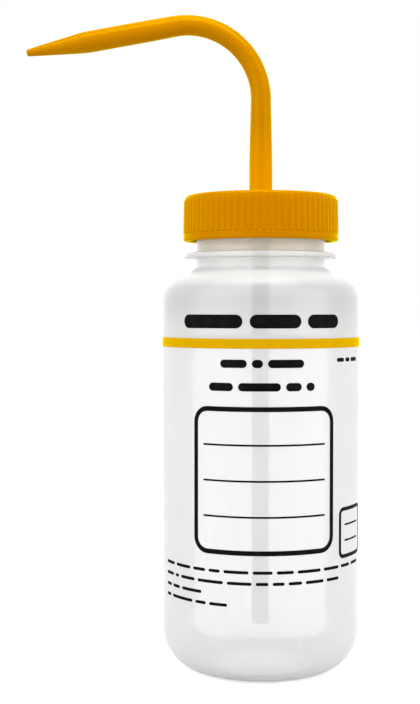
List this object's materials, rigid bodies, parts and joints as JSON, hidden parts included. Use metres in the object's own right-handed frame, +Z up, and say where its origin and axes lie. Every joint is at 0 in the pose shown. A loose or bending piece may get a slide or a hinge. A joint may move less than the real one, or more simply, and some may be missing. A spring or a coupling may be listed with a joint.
{
  "type": "wash bottle",
  "caption": "Squeeze wash bottle with a straight round body, ribbed screw cap, swivelling bent spout with a tapered jet nozzle, and a dip tube.",
  "frame": {"origin": "on the bottle's axis, in the plane that it stands on", "axes": "+Z up along the bottle's axis; the spout points along -X; -Y is the front, which carries the print"},
  "size_m": [0.128, 0.076, 0.2505],
  "materials": {
    "bottle_plastic": "translucent natural low-density polyethylene, satin outside",
    "cap_plastic": "opaque yellow moulded plastic, semi-gloss",
    "washer_plastic": "soft white foamed polyethylene",
    "spout_plastic": "opaque yellow moulded plastic, semi-gloss",
    "tube_plastic": "translucent natural low-density polyethylene",
    "print_ink": "black screen-printed ink",
    "band_ink": "yellow screen-printed ink"
  },
  "bodies": {
    "bottle": {"bottle": "bottle_plastic"},
    "seal": {"sealing_washer": "washer_plastic"},
    "cap": {"screw_cap": "cap_plastic"},
    "spout": {"spout": "spout_plastic", "dip_tube": "tube_plastic"}
  },
  "joints": [
    {"name": "closure_rise", "type": "slide", "parent": "bottle", "child": "seal", "axis": [0, 0, 1], "range_m": [0, 0.0064]},
    {"name": "cap_turn", "type": "hinge", "parent": "seal", "child": "cap", "pos_m": [0, 0, 0.1725], "axis": [0, 0, 1], "range_deg": [0, 540]},
    {"name": "spout_swivel", "type": "hinge", "parent": "seal", "child": "spout", "pos_m": [0, 0, 0.1785], "axis": [0, 0, 1], "continuous": true}
  ],
  "couplings": [
    {"joint": "closure_rise", "follows": "cap_turn", "m_per_rad": 0.0006737}
  ]
}
